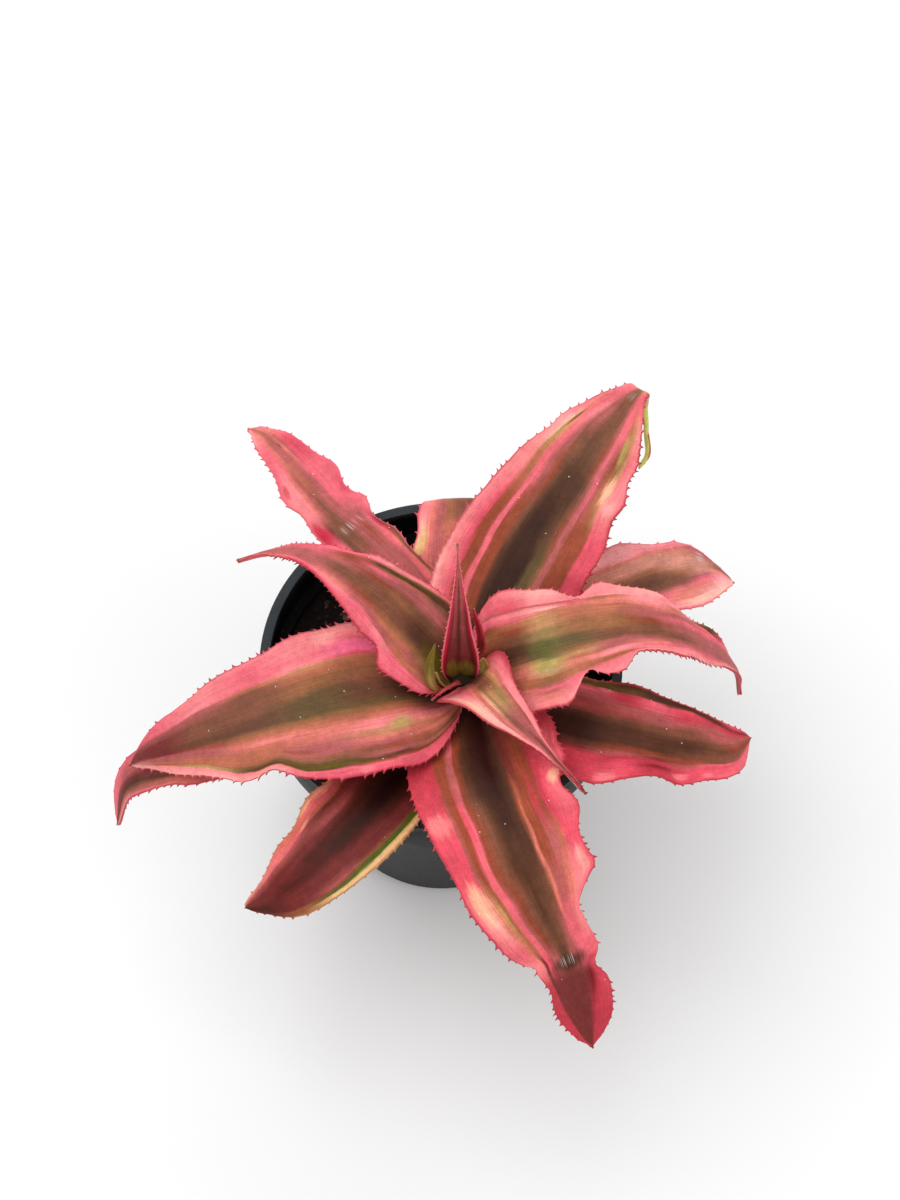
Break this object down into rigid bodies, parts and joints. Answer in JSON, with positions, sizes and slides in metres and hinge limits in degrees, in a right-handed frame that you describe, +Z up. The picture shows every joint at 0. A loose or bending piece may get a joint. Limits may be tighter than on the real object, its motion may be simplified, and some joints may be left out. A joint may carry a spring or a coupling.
{
  "type": "potted earth star bromeliad",
  "caption": "Earth star bromeliad: a low rosette of stiff, wavy, spiny-edged leaves banded in pink and brown, growing in a round plastic nursery pot.",
  "frame": {"origin": "centre of the pot's underside", "axes": "+Z up along the pot's axis, +X to the plant's right and -Y to its front"},
  "size_m": [0.1161, 0.12, 0.0898],
  "materials": {
    "pot": "satin black to dark grey moulded plastic, paler and scuffed on the lip",
    "potting_mix": "near-black peat with brown bark crumbs",
    "crown": "dull yellow-green stem",
    "leaf_outer_right_back": "semi-gloss leaf banded brown, olive and pink along its length, with spiny pink margins",
    "leaf_outer_left_front": "semi-gloss leaf banded brown, olive and pink along its length, with spiny pink margins",
    "leaf_outer_back": "semi-gloss leaf banded brown, olive and pink along its length, with spiny pink margins",
    "leaf_outer_left": "semi-gloss leaf banded brown, olive and pink along its length, with spiny pink margins",
    "leaf_outer_right": "semi-gloss leaf banded brown, olive and pink along its length, with spiny pink margins",
    "leaf_outer_left_back": "semi-gloss leaf banded brown, olive and pink along its length, with spiny pink margins",
    "leaf_middle_front": "semi-gloss leaf banded brown, olive and pink along its length, with spiny pink margins",
    "leaf_middle_right_back": "semi-gloss leaf banded brown, olive and pink along its length, with spiny pink margins",
    "leaf_middle_left": "semi-gloss leaf banded brown, olive and pink along its length, with spiny pink margins",
    "leaf_upper_right": "semi-gloss leaf banded brown, olive and pink along its length, with spiny pink margins",
    "leaf_upper_left": "semi-gloss leaf banded brown, olive and pink along its length, with spiny pink margins",
    "leaf_upper_front": "semi-gloss leaf banded brown, olive and pink along its length, with spiny pink margins",
    "leaf_heart_back": "semi-gloss dark red new leaf",
    "leaf_heart_spike": "semi-gloss purple new leaf, green at its foot, with red spiny margins",
    "leaf_heart_hook": "semi-gloss pale pink new leaf",
    "leaf_heart_green": "semi-gloss light green new leaf"
  },
  "bodies": {
    "root": {"pot": "pot", "potting_mix": "potting_mix", "crown": "crown", "leaf_outer_right_back": "leaf_outer_right_back", "leaf_outer_left_front": "leaf_outer_left_front", "leaf_outer_back": "leaf_outer_back", "leaf_outer_left": "leaf_outer_left", "leaf_outer_right": "leaf_outer_right", "leaf_outer_left_back": "leaf_outer_left_back", "leaf_middle_front": "leaf_middle_front", "leaf_middle_right_back": "leaf_middle_right_back", "leaf_middle_left": "leaf_middle_left", "leaf_upper_right": "leaf_upper_right", "leaf_upper_left": "leaf_upper_left", "leaf_upper_front": "leaf_upper_front", "leaf_heart_back": "leaf_heart_back", "leaf_heart_spike": "leaf_heart_spike", "leaf_heart_hook": "leaf_heart_hook", "leaf_heart_green": "leaf_heart_green"}
  },
  "joints": []
}
